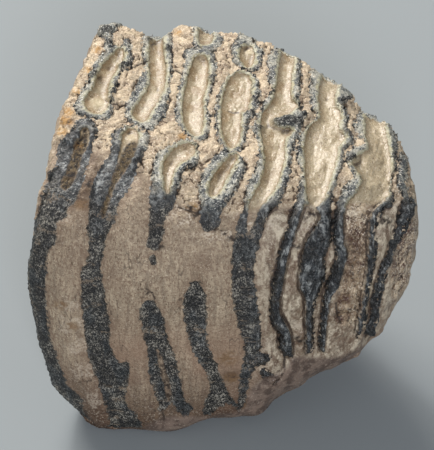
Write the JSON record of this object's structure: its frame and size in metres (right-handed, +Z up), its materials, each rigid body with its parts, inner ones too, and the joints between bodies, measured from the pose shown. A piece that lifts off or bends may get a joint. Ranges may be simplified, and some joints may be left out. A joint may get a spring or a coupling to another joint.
{
  "type": "fossil mammoth tooth fragment",
  "caption": "Chunk of a fossil mammoth molar with a ridged chewing face, worn dentine basins, dark enamel bands down its sides, one broken end and a rising root side.",
  "frame": {"origin": "bottom centre of the fragment as it stands on its root side", "axes": "+X along the row of enamel plates from the broken end to the natural end, +Y across the tooth from the cheek side to the tongue side, +Z up through the chewing face"},
  "size_m": [0.1038, 0.0914, 0.0835],
  "materials": {
    "mineralised_tooth": "mineralised tooth: matt pink-tan cement, charcoal granular enamel bands, and polished tan dentine in the worn basins"
  },
  "bodies": {
    "root": {"tooth_fragment": "mineralised_tooth"}
  },
  "joints": []
}
